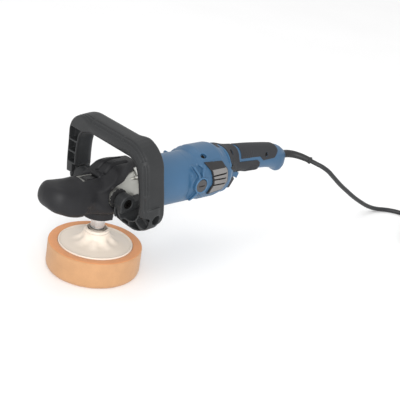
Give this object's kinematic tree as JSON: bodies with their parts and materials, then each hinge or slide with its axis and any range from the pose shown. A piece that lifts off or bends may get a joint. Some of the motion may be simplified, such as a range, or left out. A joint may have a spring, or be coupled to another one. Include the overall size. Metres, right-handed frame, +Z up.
{
  "type": "rotary polisher",
  "caption": "Corded rotary polisher with a foam pad on a backing plate, rubber-covered head, tilting loop handle, wide motor housing, trigger grip and a mains lead coiled beside it.",
  "frame": {"origin": "on the spindle axis, at the centre of the foam pad's working face", "axes": "+X along the motor from the nose to the cord end, +Z up along the spindle away from the pad, +Y to the tool's left seen from the cord end looking to the nose"},
  "size_m": [0.7718, 0.3651, 0.2239],
  "materials": {
    "foam": "matte",
    "loop_pile": "matte",
    "plate": "matte",
    "steel": "satin",
    "gear_steel": "satin",
    "casting": "satin",
    "boot": "matte",
    "core": "matte",
    "black": "satin",
    "handle": "matte",
    "housing": "matte",
    "soft_grip": "matte",
    "vent": "matte",
    "lamination": "satin",
    "copper": "satin",
    "carbon": "matte",
    "pins": "polished",
    "cord": "satin",
    "board": "satin"
  },
  "bodies": {
    "housing": {"spindle_bearing_lower": "steel", "spindle_bearing_upper": "steel", "gear_housing": "casting", "bearing_cover": "core", "cover_screws": "steel", "nose_core": "core", "head_boot": "boot", "lock_spring": "steel", "handle_washers": "black", "handle_bolts": "steel", "flange_screws": "steel", "motor_housing": "housing", "stator_core": "lamination", "field_coils": "copper", "fan_baffle": "black", "motor_bearing_front": "steel", "motor_bearing_rear": "steel", "brush_holders": "pins", "carbon_brushes": "carbon", "brush_springs": "steel", "brush_caps": "vent", "vent_cover_left": "vent", "vent_cover_right": "vent", "housing_screws": "steel", "speed_module": "board", "switch_body": "black", "trigger_pin": "steel", "handle_shell_left": "housing", "handle_shell_right": "housing", "upper_grip": "soft_grip", "lower_grip": "soft_grip", "shell_screws": "steel", "cord_clamp": "core", "strain_relief": "cord", "cord_lead": "cord", "cord_coil": "cord", "cord_tie": "black", "cord_tail": "cord", "plug_body": "cord", "plug_pins": "pins"},
    "spindle": {"spindle": "steel", "ring_gear": "gear_steel", "plate_insert": "steel", "backing_plate": "plate", "loop_disc": "loop_pile", "foam_pad": "foam"},
    "armature": {"armature_shaft": "steel", "armature_core": "lamination", "armature_windings": "copper", "commutator": "copper", "fan": "black", "pinion": "gear_steel"},
    "spindle_lock": {"lock_button": "black"},
    "loop_handle": {"loop_handle": "handle"},
    "speed_dial": {"speed_dial": "black"},
    "trigger": {"trigger": "soft_grip"},
    "lock_on": {"lock_on_button": "black"}
  },
  "joints": [
    {"name": "armature_spin", "type": "hinge", "parent": "housing", "child": "armature", "pos_m": [0.1, 0, 0.123], "axis": [1, 0, 0], "continuous": true},
    {"name": "spindle_spin", "type": "hinge", "parent": "housing", "child": "spindle", "pos_m": [0, 0, 0.08], "axis": [0, 0, 1], "continuous": true},
    {"name": "spindle_lock_press", "type": "slide", "parent": "housing", "child": "spindle_lock", "axis": [0, 0, -1], "range_m": [0, 0.0034], "stiffness_N_per_m": 400, "springref_m": -0.004, "deforming": ["lock_spring"]},
    {"name": "loop_handle_tilt", "type": "hinge", "parent": "housing", "child": "loop_handle", "pos_m": [0.003, 0, 0.127], "axis": [0, 1, 0], "range_deg": [-15, 15]},
    {"name": "speed_dial_turn", "type": "hinge", "parent": "housing", "child": "speed_dial", "pos_m": [0.216, 0, 0.159], "axis": [1, 0, 0], "range_deg": [-135, 135]},
    {"name": "trigger_pull", "type": "hinge", "parent": "housing", "child": "trigger", "pos_m": [0.232, 0, 0.112], "axis": [0, -1, 0], "range_deg": [0, 8], "stiffness_Nm_per_rad": 1, "springref_deg": -8.59},
    {"name": "lock_on_press", "type": "slide", "parent": "housing", "child": "lock_on", "axis": [0, 1, 0], "range_m": [0, 0.003], "stiffness_N_per_m": 400, "springref_m": -0.003}
  ],
  "couplings": [
    {"joint": "spindle_spin", "follows": "armature_spin", "ratio": 0.26316}
  ]
}
